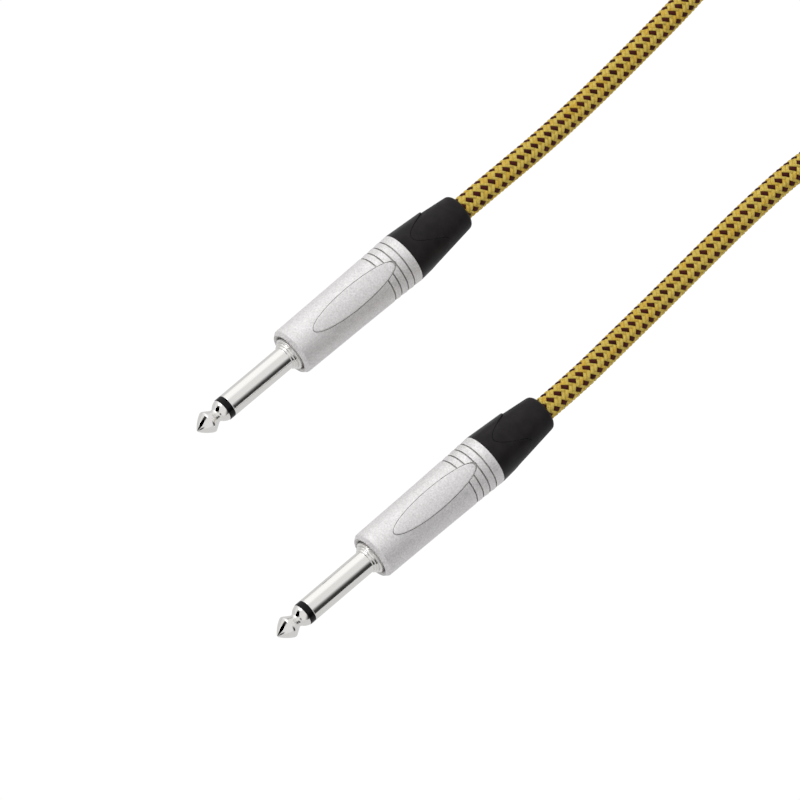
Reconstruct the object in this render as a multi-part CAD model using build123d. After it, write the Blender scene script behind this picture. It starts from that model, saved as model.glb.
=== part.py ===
from build123d import *
import math
import os

# An instrument cable: two slim 6.35 mm mono plugs on one braided cable.
# Row frame, in millimetres: +Z up, and the plugs lie side by side on z = 0 with their tips towards -Y.
# Each plug is drawn along its own +Z, from the tip at 0, and is then laid down and put in its place.

os.makedirs("parts", exist_ok=True)

# ---- driving dimensions ----

PLUG_LENGTH = 92.0  # from the tip to the boot's end
PLUG_SPACING = 56.1  # between the two plugs' axes
PLUG_STAGGER = 24.6  # how much further back plug_a lies

JACK_R = 3.175  # a standard 6.35 mm plug: the sleeve and the black ring
RING_BACK = 10.4  # the sleeve starts behind the black ring
RING_FRONT = 8.7
SLEEVE_BACK = 30.4  # where its foot's steps start
STEPS = [(3.6, 31.0), (4.1, 31.7)]  # each step's radius and back end
FOOT_R = 4.65
FLANGE_R = 5.7
ROD_R = 1.25
ROD_END = 41.8
ROD_BORE_R = 1.28
LINER_R = 2.0
FLANGE_BACK = 36.4

SHELL_FRONT = 32.0
SHELL_BACK = 72.0
SHELL_BACK_R = 7.28  # the widest place, which the plug lies on
SHELL_MOUTH_R = 5.15
LIP_IN_R = 5.5  # the front lip's flat, between its two chamfers
LIP_OUT_R = 5.9
LIP_DEPTH = 0.5
SHELL_NECK_R = 6.65  # behind the lip
SHELL_NECK = 33.0
SHELL_MIDDLE_R = 6.85
SHELL_MIDDLE = 52.0
SHELL_GROOVE_R = 6.98  # at the first groove
SHELL_BORE_R = 5.9
SHELL_SHOULDER = 34.4
GROOVES = [62.8, 64.9, 67.1, 69.3]
GROOVE_DEPTH = 0.36
GROOVE_WIDTH = 0.4

MEDALLION_ROLL = 17.5  # degrees from straight up, towards +X
MEDALLION_CENTRE = 53.1
MEDALLION_LENGTH = 28.5
MEDALLION_WIDTH = 6.0
MEDALLION_CROWN_R = 12.0
MEDALLION_TOP = 7.0

THREAD_PITCH = 1.5
THREAD_CORE_R = 5.3
THREAD_HEIGHT = 0.55
THREAD_GAP = 0.15
THREAD_START = 65.3
BUSHING_FRONT = 64.6
BUSHING_R = 7.25
BUSHING_END_R = 6.42
BOOT_FRONT_R = 7.02
BOOT_BACK_R = 5.12
BOOT_END_R = 4.3
CORE_TUBE_R = 5.0
CORE_TUBE_END = 86.0
TONGUES = 3
TONGUE_ROLL = 60.0  # degrees from straight up, towards +X
TONGUE_END = 83.2
VALLEY_END = 75.1

CABLE_R = 3.25  # over the braid
CABLE_BORE_R = 3.5  # the boot's bore, with room for the cable
INNER_JACKET_R = 2.45
INSULATION_R = 1.1
CONDUCTOR_R = 0.4
PIGTAIL_R = 0.6
BRAID_CUT = 58.0
JACKET_CUT = 51.0
INSULATION_CUT = 47.5

CABLE_D = 2 * CABLE_R
HANK_X = -8.0  # the middle of the put-away hank
HANK_NEAR_Y = 205.0  # centre of its near end loop
HANK_SIDE = 37.6  # its straight sides
INNER_COLUMN_R = 21.5  # the tightest end loops
COLUMN_R = [INNER_COLUMN_R + column * CABLE_D for column in range(3)]  # its three columns of turns
TIE_THICK = 1.2
TIE_WIDTH = 16.0
TIE_SHIFT = 3.0  # from the middle of the straight side

AXIS_Z = SHELL_BACK_R
TIP_Y = {
    "a": (PLUG_STAGGER - PLUG_LENGTH) / 2,
    "b": -(PLUG_STAGGER + PLUG_LENGTH) / 2,
}
PLUG_X = {"a": -PLUG_SPACING / 2, "b": PLUG_SPACING / 2}

# ---- the cable's route, from each boot to the hank ----

ROUTE_A = [
    (-28.05, 58.3, 7.28),
    (-28.05, 73.0, 7.28),
    (-28.9, 89.0, 4.9),
    (-30.3, 106.0, 3.25),
    (-31.9, 125.0, 3.25),
    (-33.9, 146.0, 3.25),
    (-37.4, 167.0, 3.25),
    (-40.8, 184.0, 3.25),
    (-42.3, 198.0, 3.25),
]
ROUTE_B = [
    (28.05, 33.7, 7.28),
    (28.05, 46.5, 7.28),
    (26.3, 61.0, 5.2),
    (24.6, 77.0, 3.25),
    (23.1, 95.0, 3.25),
    (21.6, 115.0, 3.25),
    (21.2, 134.0, 3.25),
    (24.2, 152.0, 3.25),
    (29.4, 169.0, 3.9),
    (33.4, 187.0, 7.0),
    (35.0, 205.0, 12.3),
    (34.6, 219.0, 17.0),
    (31.9, 231.0, 20.8),
    (28.2, 242.0, 22.7),
]


# ---- helpers ----


def turned(*points):
    """A solid of revolution about the plug's axis, from (radius, distance) points."""
    return revolve(Plane.XZ * make_face(Polyline(*points, close=True)), Axis.Z)


def tube(outer, inner, start, end):
    return turned((inner, start), (outer, start), (outer, end), (inner, end))


def facing(roll):
    """The turn about the plug's axis that brings its -Y side to that roll."""
    return Rot(Z=roll)


def on_line(value, start, end):
    """How the second number changes evenly from one (distance, radius) pair to the next."""
    share = (value - start[0]) / (end[0] - start[0])
    return start[1] + share * (end[1] - start[1])


def thread(core_r, height, root_half, crest_half, start, length):
    """A right-hand ridge on a cylinder of radius core_r."""
    sunk = 0.1
    helix = Helix(THREAD_PITCH, length, core_r - sunk)
    across = Plane(origin=helix @ 0, x_dir=(1, 0, 0), z_dir=helix % 0)
    tooth = make_face(
        Polyline(
            (0, -root_half),
            (height + sunk, -crest_half),
            (height + sunk, crest_half),
            (0, root_half),
            close=True,
        )
    )
    return Pos(0, 0, start) * sweep(across * tooth, path=helix, is_frenet=True)


# ---- the pieces of one plug ----


def tip_contact():
    """Blunt cone, waist and shoulder for the jack's spring, and the long rod behind them."""
    cone = ThreePointArc((0.3, 0), (1.93, 1.65), (3.0, 3.3))
    brim = ThreePointArc((3.0, 3.3), (3.12, 3.72), (2.98, 4.15))
    back_cone = Line((2.98, 4.15), (1.98, 5.8))
    waist = ThreePointArc((1.98, 5.8), (1.82, 6.25), (1.95, 6.7))
    shoulder = ThreePointArc((1.95, 6.7), (2.65, 7.55), (3.08, RING_FRONT))
    rod = Polyline((3.08, RING_FRONT), (ROD_R, RING_FRONT), (ROD_R, ROD_END), (0, ROD_END), (0, 0), (0.3, 0))
    outline = make_face([cone, brim, back_cone, waist, shoulder, rod])
    return revolve(Plane.XZ * outline, Axis.Z)


def tip_insulator():
    """The black ring behind the tip, with the liner that runs through the sleeve."""
    return turned(
        (ROD_BORE_R, RING_FRONT),
        (JACK_R, RING_FRONT),
        (JACK_R, RING_BACK),
        (LINER_R, RING_BACK),
        (LINER_R, FLANGE_BACK + 0.6),
        (ROD_BORE_R, FLANGE_BACK + 0.6),
    )


def sleeve():
    """The plug's barrel, with its stepped foot and the flange that bears on the shell's shoulder."""
    bore_r = LINER_R + 0.05
    outline = [(bore_r, RING_BACK), (JACK_R, RING_BACK), (JACK_R, SLEEVE_BACK)]
    front = SLEEVE_BACK
    for radius, back in STEPS:
        outline += [(radius, front), (radius, back)]
        front = back
    return turned(
        *outline,
        (FOOT_R, front),
        (FOOT_R, SHELL_SHOULDER),
        (FLANGE_R, SHELL_SHOULDER),
        (FLANGE_R, FLANGE_BACK),
        (bore_r, FLANGE_BACK),
    )


def ground_lug():
    """A stamped ring behind the flange, with a tail back along the shell's wall."""
    thick = 0.6
    ring = Pos(0, 0, FLANGE_BACK) * extrude(Circle(5.2) - Circle(2.2), thick)
    tail = Pos(0, 4.6, FLANGE_BACK) * Box(3.4, thick, 13.6, align=(Align.CENTER, Align.CENTER, Align.MIN))
    return ring + tail


def contact_insert():
    """The plastic disc that keeps the rod's end off the ground lug."""
    return tube(4.2, ROD_BORE_R, FLANGE_BACK + 0.6, 40.0)


def tip_solder_lug():
    """A cup on the rod's end, open on its upper side behind the rod."""
    cup = turned(
        (ROD_BORE_R, 40.0),
        (2.6, 40.0),
        (2.6, 40.6),
        (1.55, 40.6),
        (1.55, 46.5),
        (1.0, 46.5),
        (1.0, ROD_END + 0.1),
        (ROD_BORE_R, ROD_END + 0.1),
    )
    return cup - Pos(0, -5, 47.3) * Box(10, 10, 10)


def shield_pigtail():
    """The twisted screen, from the inner jacket's end down onto the ground lug's tail."""
    corners = [(0, 1.75, JACKET_CUT), (0, 1.75, 50.0), (0, 3.7, 47.6), (0, 3.7, 44.0)]
    route = FilletPolyline(*corners, radius=0.9)
    start = Plane(origin=route @ 0, z_dir=route % 0)
    return sweep(start * Circle(PIGTAIL_R), path=route)


def solder_joints():
    """The tip joint in the cup, and the ground joint over the pigtail's end."""
    in_cup = Pos(0, 0, 42.3) * Cylinder(0.98, 3.9, align=(Align.CENTER, Align.CENTER, Align.MIN))
    in_cup -= Pos(0, -5, 44) * Box(10, 10, 10)
    in_cup -= tube(CONDUCTOR_R, 0, 42, 47)
    on_tail = Pos(0, 4.3, 43.4) * Cylinder(1.4, 3.0, align=(Align.CENTER, Align.CENTER, Align.MIN))
    on_tail -= Pos(0, 4.3 + 5, 45) * Box(10, 10, 10)
    on_tail -= shield_pigtail()
    return Compound(children=[in_cup.solid(), on_tail.solid()])


def shell_radius(distance):
    """The shell's outer radius: it swells a little, and more over the grooves."""
    if distance < SHELL_MIDDLE:
        return on_line(distance, (SHELL_NECK, SHELL_NECK_R), (SHELL_MIDDLE, SHELL_MIDDLE_R))
    if distance < GROOVES[0]:
        return on_line(distance, (SHELL_MIDDLE, SHELL_MIDDLE_R), (GROOVES[0], SHELL_GROOVE_R))
    return on_line(distance, (GROOVES[0], SHELL_GROOVE_R), (SHELL_BACK, SHELL_BACK_R))


def medallion():
    """A blank oval, a little flatter than the shell, that stands proud of it."""
    oval = Ellipse(MEDALLION_WIDTH / 2, MEDALLION_LENGTH / 2)
    top = Plane(origin=(0, 0, MEDALLION_CENTRE), x_dir=(1, 0, 0), z_dir=(0, -1, 0))
    column = extrude(top * oval, 8)
    crown = Pos(0, MEDALLION_CROWN_R - MEDALLION_TOP, MEDALLION_CENTRE) * Cylinder(MEDALLION_CROWN_R, 40)
    solid = (column & crown) - Pos(0, 0, MEDALLION_CENTRE) * Cylinder(SHELL_BORE_R + 0.3, 40)
    return facing(MEDALLION_ROLL) * solid.solid()


def shell():
    """The metal housing: open mouth, inner shoulder, oval, stepped grooves and a threaded back end."""
    outer = [
        (SHELL_MOUTH_R, SHELL_FRONT + LIP_DEPTH),
        (LIP_IN_R, SHELL_FRONT),
        (LIP_OUT_R, SHELL_FRONT),
        (SHELL_NECK_R, SHELL_NECK),
        (SHELL_MIDDLE_R, SHELL_MIDDLE),
    ]
    for groove in GROOVES:
        radius = shell_radius(groove)
        outer.append((radius + 0.04, groove - GROOVE_WIDTH / 2))
        outer.append((radius - GROOVE_DEPTH, groove - GROOVE_WIDTH / 2))
        outer.append((radius - GROOVE_DEPTH, groove + GROOVE_WIDTH / 2))
        outer.append((radius - 0.08, groove + GROOVE_WIDTH / 2))
    outer.append((SHELL_BACK_R, SHELL_BACK))
    nut_r = THREAD_CORE_R + THREAD_GAP
    nut_front = BUSHING_FRONT - 0.8
    inner = [
        (nut_r + 0.5, SHELL_BACK),
        (nut_r, SHELL_BACK - 0.5),
        (nut_r, nut_front),
        (SHELL_BORE_R, nut_front - 0.6),
        (SHELL_BORE_R, SHELL_SHOULDER),
        (SHELL_MOUTH_R, SHELL_SHOULDER),
    ]
    body = turned(*outer, *inner) + medallion()
    groove_start = THREAD_START - 2 * THREAD_PITCH
    groove = thread(nut_r, THREAD_HEIGHT, 0.66, 0.28, groove_start, SHELL_BACK - groove_start + 1.4)
    return (body - groove).solid()


def chuck():
    """The cable clamp: a ring with four springy fingers that the bushing's cone closes."""
    body = turned(
        (3.45, 54.5),
        (5.1, 54.5),
        (5.1, 61.0),
        (4.7, 61.6),
        (4.7, 70.6),
        (3.95, 72.6),
        (3.45, 72.6),
    )
    slot_length = 11.0
    for turn in (0, 90):
        slot = Box(20, 1.0, slot_length, align=(Align.CENTER, Align.CENTER, Align.MIN))
        body -= Pos(0, 0, 72.7 - slot_length) * Rot(Z=turn) * slot
    return body.solid()


def tongue():
    """One third of the bushing's skirt: a tongue between two valleys, as a column out of the axis."""
    half = 180 / TONGUES
    mean_r = 6.8
    edge = []
    steps = 8
    for step in range(-steps, steps + 1):
        angle = half * step / steps
        rise = (1 + math.cos(math.radians(angle * TONGUES))) / 2
        edge.append((mean_r * math.sin(math.radians(angle)), VALLEY_END + (TONGUE_END - VALLEY_END) * rise))
    sides = Polyline(edge[-1], (edge[-1][0], SHELL_BACK), (edge[0][0], SHELL_BACK), edge[0])
    return extrude(Plane.XZ * make_face([Spline(*edge), sides]), 9)


def skirt():
    """The hard cone behind the shell, its edge cut to the tongues."""
    end_z = TONGUE_END + 1
    end_r = on_line(end_z, (SHELL_BACK, BUSHING_R), (TONGUE_END, BUSHING_END_R))
    cone = turned((CORE_TUBE_R, SHELL_BACK), (BUSHING_R, SHELL_BACK), (end_r, end_z), (CORE_TUBE_R, end_z))
    tongues = [Rot(Z=TONGUE_ROLL + turn * 360 / TONGUES) * tongue() for turn in range(TONGUES)]
    return cone & (tongues[0] + tongues[1] + tongues[2])


def boot_bushing():
    """The hard half of the boot: thread, closing cone, core tube and the three-tongued skirt."""
    core = turned(
        (4.85, BUSHING_FRONT),
        (THREAD_CORE_R, BUSHING_FRONT),
        (THREAD_CORE_R, SHELL_BACK + 1),
        (CORE_TUBE_R, CORE_TUBE_END - 6),
        (4.4, CORE_TUBE_END),
        (CABLE_BORE_R, CORE_TUBE_END),
        (CABLE_BORE_R, 74.0),
        (4.85, 71.0),
    )
    ridge = thread(THREAD_CORE_R, THREAD_HEIGHT - 0.05, 0.5, 0.12, THREAD_START, 5.6)
    return (core + ridge + skirt()).solid()


def boot_sleeve(bushing):
    """The soft half of the boot, moulded over the bushing's core tube between its tongues."""
    blank = turned(
        (CABLE_BORE_R, VALLEY_END),
        (BOOT_FRONT_R, VALLEY_END),
        (BOOT_BACK_R, PLUG_LENGTH - 1.0),
        (BOOT_END_R, PLUG_LENGTH),
        (CABLE_BORE_R, PLUG_LENGTH),
    )
    filled = bushing + tube(CORE_TUBE_R, CABLE_BORE_R, SHELL_BACK, CORE_TUBE_END - 6)
    return (blank - filled).solids().sort_by(SortBy.VOLUME)[-1]


def plug_pieces():
    bushing = boot_bushing()
    return {
        "tip_contact": tip_contact(),
        "tip_insulator": tip_insulator(),
        "sleeve": sleeve(),
        "ground_lug": ground_lug(),
        "contact_insert": contact_insert(),
        "tip_solder_lug": tip_solder_lug(),
        "solder_joints": solder_joints(),
        "centre_conductor": tube(CONDUCTOR_R, 0, ROD_END + 0.3, INSULATION_CUT),
        "core_insulation": tube(INSULATION_R, 0, INSULATION_CUT, JACKET_CUT),
        "shield_pigtail": shield_pigtail(),
        "inner_jacket": tube(INNER_JACKET_R, 0, JACKET_CUT, BRAID_CUT),
        "cable_end": tube(CABLE_R, 0, BRAID_CUT, PLUG_LENGTH),
        "shell": shell(),
        "chuck": chuck(),
        "boot_bushing": bushing,
        "boot_sleeve": boot_sleeve(bushing),
    }


# ---- the free cable ----


def corner_radii(route):
    """The largest arcs that each corner's two runs allow."""
    points = [Vector(*point) for point in route]
    radii = []
    for before, corner, after in zip(points, points[1:], points[2:]):
        turn = (corner - before).get_angle(after - corner)
        shorter = min((corner - before).length, (after - corner).length)
        radii.append(0.45 * shorter / math.tan(math.radians(turn / 2)))
    return radii


def cable_run(name, route):
    radii = corner_radii(route)
    path = FilletPolyline(*route, radius=radii)
    start = Plane(origin=path @ 0, z_dir=path % 0)
    run = sweep(start * Circle(CABLE_R), path=path)
    section = math.pi * CABLE_R**2
    print(name, "radii", [round(radius) for radius in radii], "length", round(path.length, 1))
    print(name, "volume over section times length", round(run.volume / section / path.length, 4))
    return run


def stadium(radius):
    """The outline round the outside of a loop whose end radius is given."""
    return Rot(Z=90) * SlotOverall(HANK_SIDE + 2 * radius, 2 * radius)


def hank_place():
    return Pos(HANK_X, HANK_NEAR_Y + HANK_SIDE / 2, 0)


def tie_outline(grow):
    """The section of the turns under the tie, with corners as round as the cable, grown by grow."""
    left = -COLUMN_R[2] - CABLE_R
    right = -COLUMN_R[0] + CABLE_R
    step = -COLUMN_R[1] + CABLE_R
    low = TIE_THICK
    corners = [
        (left, low),
        (right, low),
        (right, low + 2 * CABLE_D),
        (step, low + 4 * CABLE_D),
        (left, low + 4 * CABLE_D),
    ]
    face = make_face(Polyline(*corners, close=True))
    face = fillet(face.vertices(), 2.6)
    return offset(face, grow) if grow else face


def under_tie(grow, width):
    """A length of the tie's outline along the hank's left side."""
    place = Plane(origin=(0, TIE_SHIFT + width / 2, 0), x_dir=(1, 0, 0), z_dir=(0, -1, 0))
    return hank_place() * extrude(place * tie_outline(grow), width)


def cable_coil():
    """The hank's outer shape: three columns in the lower two layers, two above, lifted over the tie."""
    lower = stadium(COLUMN_R[2] + CABLE_R) - stadium(COLUMN_R[0] - CABLE_R)
    upper = stadium(COLUMN_R[2] + CABLE_R) - stadium(COLUMN_R[1] - CABLE_R)
    ring = extrude(lower, 2 * CABLE_D) + Pos(0, 0, 2 * CABLE_D) * extrude(upper, 2 * CABLE_D)
    gap = Pos(-COLUMN_R[1], TIE_SHIFT, 0) * Box(3 * CABLE_D + 8, TIE_WIDTH, 80)
    return (hank_place() * (ring - gap) + under_tie(0, TIE_WIDTH)).solid()


def cable_tie():
    """A hook-and-loop strap round the hank's side, its end lapped over the top."""
    strap = under_tie(TIE_THICK, TIE_WIDTH) - under_tie(0, TIE_WIDTH)
    lap_z = TIE_THICK * 2.5 + 4 * CABLE_D
    lap = hank_place() * Pos(-COLUMN_R[2] + CABLE_R, TIE_SHIFT, lap_z) * Box(9, TIE_WIDTH, TIE_THICK)
    return (strap + lap).solid()


# ---- write one file for each piece ----


def write(name, solid):
    export_step(solid, os.path.join("parts", name + ".step"))


pieces = plug_pieces()
for side in ("a", "b"):
    laid_down = Pos(PLUG_X[side], TIP_Y[side], AXIS_Z) * Rot(X=-90)
    for name, solid in pieces.items():
        write(f"{name}_{side}", laid_down * solid)

write("cable_run_a", cable_run("cable_run_a", ROUTE_A))
write("cable_run_b", cable_run("cable_run_b", ROUTE_B))
write("cable_coil", cable_coil())
write("cable_tie", cable_tie())
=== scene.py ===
"""An instrument cable: two 6.35 mm plugs on one braided cable, with the spare length in a tied hank.

Meshes are built in millimetres in the CAD's row frame and written in metres. A plug's surfaces are given
by the distance back from its tip, the radius, and the roll: 0 degrees is straight up and 90 degrees is
towards +X.
"""

import math

import bmesh
import bpy
import numpy as np
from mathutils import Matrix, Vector

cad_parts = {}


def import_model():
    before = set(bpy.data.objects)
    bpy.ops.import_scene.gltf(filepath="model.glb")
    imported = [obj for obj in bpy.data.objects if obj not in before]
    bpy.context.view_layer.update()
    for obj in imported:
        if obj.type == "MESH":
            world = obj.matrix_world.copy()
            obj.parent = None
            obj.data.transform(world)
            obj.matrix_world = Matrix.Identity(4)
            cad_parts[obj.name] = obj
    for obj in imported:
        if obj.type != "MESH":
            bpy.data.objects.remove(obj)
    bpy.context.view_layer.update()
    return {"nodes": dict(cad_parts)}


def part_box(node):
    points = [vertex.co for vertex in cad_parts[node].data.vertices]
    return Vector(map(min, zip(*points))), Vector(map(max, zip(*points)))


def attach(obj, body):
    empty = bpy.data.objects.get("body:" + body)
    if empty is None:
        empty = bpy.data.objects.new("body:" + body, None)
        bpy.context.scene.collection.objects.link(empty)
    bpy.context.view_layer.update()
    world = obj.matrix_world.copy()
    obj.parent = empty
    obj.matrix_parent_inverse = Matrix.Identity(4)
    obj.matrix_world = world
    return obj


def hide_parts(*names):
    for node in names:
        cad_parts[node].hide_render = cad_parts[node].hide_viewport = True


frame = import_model()

MM = 0.001
TAU = 2 * math.pi

# ---- sizes of the plug, in millimetres back from the tip ----

RING_FRONT = 8.7
RING_BACK = 10.4
JACK_R = 3.175
ROD_R = 1.25
ROD_END = 41.8
LINER_R = 2.0
FLANGE_BACK = 36.4
SLEEVE_BACK = 30.4
STEPS = [(3.6, 31.0), (4.1, 31.7)]  # the radius and back end of each step of the sleeve's foot
FOOT_R = 4.65
FLANGE_R = 5.7
SHELL_FRONT = 32.0
SHELL_BACK = 72.0
SHELL_BACK_R = 7.28
SHELL_MOUTH_R = 5.15
LIP_IN_R = 5.5
LIP_OUT_R = 5.9
LIP_DEPTH = 0.5
SHELL_NECK = 33.0
SHELL_NECK_R = 6.65
SHELL_MIDDLE = 52.0
SHELL_MIDDLE_R = 6.85
SHELL_GROOVE_R = 6.98
SHELL_BORE_R = 5.9
SHELL_SHOULDER = 34.4
GROOVES = [62.8, 64.9, 67.1, 69.3]
GROOVE_WIDTH = 0.4
GROOVE_DEPTH = 0.36
OVAL_ROLL = {"a": 16.5, "b": 13.5}  # degrees from straight up, towards +X
OVAL_CENTRE = 53.1
OVAL_LENGTH = 28.5
OVAL_WIDTH = 6.0
OVAL_CROWN_R = 12.0
OVAL_TOP = 7.0
OVAL_EDGE = 0.22  # how far its rim is rounded down
OVAL_RIM = 0.955  # the share of the way out where that rounding starts
OVAL_SHARES = [0.0001, 0.15, 0.3, 0.45, 0.6, 0.72, 0.83, 0.91, OVAL_RIM, 0.969, 0.981, 0.992, 0.998, 1.0]
MOAT_WIDTH = 0.15  # the fine crease round the oval
MOAT_DEPTH = 0.26
THREAD_PITCH = 1.5
THREAD_START = 65.3
THREAD_CORE_R = 5.3
NUT_R = 5.45
BUSHING_FRONT = 64.6
THREAD_ENDS = (65.0, 71.3)  # where the boot's thread fades out
CONE_R = 4.85  # the mouth of the closing cone in the bushing's bore
CONE_FRONT = 71.0
CONE_BACK = 74.0
CORE_TUBE_R = 5.0
CORE_TUBE_END = 86.0
CORE_END_R = 4.4
CORE_TAPER = 80.0
CABLE_BORE_R = 3.5
TONGUE_ROLL = 60.0
TONGUE_END = 83.2
VALLEY_END = 75.1
SKIRT_FRONT_R = 7.25
SKIRT_BACK_R = 6.42
SOFT_FRONT_R = 7.02
SOFT_BACK_R = 5.12
SOFT_TAPER_END = 90.6
BOOT_END = 92.0
BOOT_END_R = 4.3
BRAID_CUT = 58.0

# ---- the cable and its route, which repeats the CAD's points in metres ----

CABLE_D = 6.5
CARRIERS = 24
PICK = 0.65  # how far along the cable one crossing of two strands moves
FINE_PICKS_A = 165  # how many picks next to each plug are modelled finely
FINE_PICKS_B = 195
BROWN_SPREAD = 0.11  # how far each edge of a brown strand reaches past an even share
BRAID_ROLL = -12.9  # degrees, so that the brown picks run along the cable where they do on the real one
BRAID_LOW_R = 2.96
BRAID_HIGH_R = 3.30

ROUTE_A = [
    (-0.02805, 0.0583, 0.00728),
    (-0.02805, 0.0730, 0.00728),
    (-0.02890, 0.0890, 0.00490),
    (-0.03030, 0.1060, 0.00325),
    (-0.03190, 0.1250, 0.00325),
    (-0.03390, 0.1460, 0.00325),
    (-0.03740, 0.1670, 0.00325),
    (-0.04080, 0.1840, 0.00325),
    (-0.04230, 0.1980, 0.00325),
]
ROUTE_B = [
    (0.02805, 0.0337, 0.00728),
    (0.02805, 0.0465, 0.00728),
    (0.02630, 0.0610, 0.00520),
    (0.02460, 0.0770, 0.00325),
    (0.02310, 0.0950, 0.00325),
    (0.02160, 0.1150, 0.00325),
    (0.02120, 0.1340, 0.00325),
    (0.02420, 0.1520, 0.00325),
    (0.02940, 0.1690, 0.00390),
    (0.03340, 0.1870, 0.00700),
    (0.03500, 0.2050, 0.01230),
    (0.03460, 0.2190, 0.01700),
    (0.03190, 0.2310, 0.02080),
    (0.02820, 0.2420, 0.02270),
]

HANK_X = -8.0
HANK_NEAR_Y = 205.0
HANK_SIDE = 37.6
COLUMN_R = [21.5, 28.0, 34.5]
TURNS = [(2, 0), (1, 0), (0, 0), (0, 1), (1, 1), (2, 1), (2, 2), (1, 2), (1, 3), (2, 3)]  # column and layer
RISE_BULGE = 3.0  # how far a turn steps aside where it climbs a layer
LOOP_STATIONS = 8
TIE_THICK = 1.2
TIE_WIDTH = 16.0
TIE_SHIFT = 3.0
TIE_LIFT_REACH = 26.0  # how far from the strap the cable still rises over it
TIE_CORNER_R = 2.6
TIE_START = 7.0  # how far before the top left corner the strap's inner end lies
TIE_LAP = 9.0  # how much of the outer end lies over the inner one
LAP_LIFT = 1.15  # how much higher it lies there


# ---- mesh helpers ----


def new_object(name, vertices, faces, smooth_angle=35):
    """A mesh object from vertices in millimetres, with edges sharper than smooth_angle kept sharp."""
    mesh = bpy.data.meshes.new(name)
    mesh.from_pydata(np.asarray(vertices) * MM, [], faces)
    mesh.validate()
    mesh.shade_smooth()
    mesh.set_sharp_from_angle(angle=math.radians(smooth_angle))
    made = bpy.data.objects.new(name, mesh)
    bpy.context.scene.collection.objects.link(made)
    return made


def grid_faces(rows, columns, closed_rows=True):
    """Quads of a grid whose columns close round, and whose rows do too if closed_rows."""
    faces = []
    for row in range(rows if closed_rows else rows - 1):
        above = (row + 1) % rows
        for column in range(columns):
            beside = (column + 1) % columns
            low, high = row * columns, above * columns
            faces.append((low + column, low + beside, high + beside, high + column))
    return faces


def rounded(corners, steps=4):
    """A closed outline from (distance, radius, edge radius) corners. Each edge is an arc between two
    support points."""
    outline = []
    count = len(corners)
    for index, (along, out, edge) in enumerate(corners):
        here = np.array((along, out))
        before = np.array(corners[index - 1][:2]) - here
        after = np.array(corners[(index + 1) % count][:2]) - here
        before_long, after_long = np.linalg.norm(before), np.linalg.norm(after)
        before, after = before / before_long, after / after_long
        half = math.acos(max(-1.0, min(1.0, float(before @ after)))) / 2
        if edge == 0 or half > math.radians(89):
            outline.append(tuple(here))
            continue
        reach = min(edge / math.tan(half), 0.45 * before_long, 0.45 * after_long)
        radius = reach * math.tan(half)
        middle = here + (before + after) / np.linalg.norm(before + after) * radius / math.sin(half)
        start, end = here + before * reach, here + after * reach
        support = min(0.06, 0.3 * (before_long - reach), 0.3 * (after_long - reach))
        outline.append(tuple(start + before * support))
        for step in range(steps + 1):
            turn = math.sin((2 * step / steps - 1) * (math.pi / 2 - half)) / math.cos(half)
            from_middle = start + (end - start) * (turn + 1) / 2 - middle
            outline.append(tuple(middle + from_middle / np.linalg.norm(from_middle) * radius))
        outline.append(tuple(end + after * support))
    return outline


def arc(first, middle, last, steps):
    """Points of the arc through three (distance, radius) points, the last one left out."""
    (ax, ay), (bx, by), (cx, cy) = first, middle, last
    det = 2 * (ax * (by - cy) + bx * (cy - ay) + cx * (ay - by))
    a2, b2, c2 = ax * ax + ay * ay, bx * bx + by * by, cx * cx + cy * cy
    ox = (a2 * (by - cy) + b2 * (cy - ay) + c2 * (ay - by)) / det
    oy = (a2 * (cx - bx) + b2 * (ax - cx) + c2 * (bx - ax)) / det
    radius = math.hypot(ax - ox, ay - oy)
    start = math.atan2(ay - oy, ax - ox)
    sweep = math.remainder(math.atan2(cy - oy, cx - ox) - start, TAU)
    turns = [start + sweep * step / steps for step in range(steps)]
    return [(ox + radius * math.cos(turn), oy + radius * math.sin(turn)) for turn in turns]


class Plug:
    """Where one plug lies: its tip, its axis and the bodies that its pieces ride on."""

    def __init__(self, side):
        low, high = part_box(f"tip_contact_{side}")
        self.side = side
        self.x = (low.x + high.x) / 2 / MM
        self.z = (low.z + high.z) / 2 / MM
        self.tip = low.y / MM

    def points(self, distance, radius, roll):
        """Row frame points, in millimetres, from arrays of distance, radius and roll in radians."""
        distance, radius, roll = np.broadcast_arrays(distance, radius, roll)
        return np.stack(
            (self.x + radius * np.sin(roll), self.tip + distance, self.z + radius * np.cos(roll)), axis=-1
        ).reshape(-1, 3)


def lathe(name, plug, distance, radius, rolls=144):
    """A closed piece round a plug's axis. distance and radius have a value for each outline point, or for
    each outline point and roll."""
    roll = np.arange(rolls) / rolls * TAU
    distance, radius = np.asarray(distance, float), np.asarray(radius, float)
    if distance.ndim == 1:
        distance = distance[:, None]
    if radius.ndim == 1:
        radius = radius[:, None]
    made = new_object(name, plug.points(distance, radius, roll), grid_faces(len(distance), rolls))
    close_axis(made)
    return made


def close_axis(made):
    """Joins the points that lie on each other, as at a nose, and turns every face outwards."""
    work = bmesh.new()
    work.from_mesh(made.data)
    bmesh.ops.remove_doubles(work, verts=work.verts, dist=1e-7)
    bmesh.ops.recalc_face_normals(work, faces=work.faces)
    work.to_mesh(made.data)
    work.free()


def dress(piece, material, body, slot, *replaced):
    """Gives a piece its material and its body, and hides the CAD nodes that it stands for. slot is not used.
    """
    if material:
        piece.data.materials.append(material)
    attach(piece, body)
    if replaced:
        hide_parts(*replaced)
    return piece


# ---- materials ----


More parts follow.
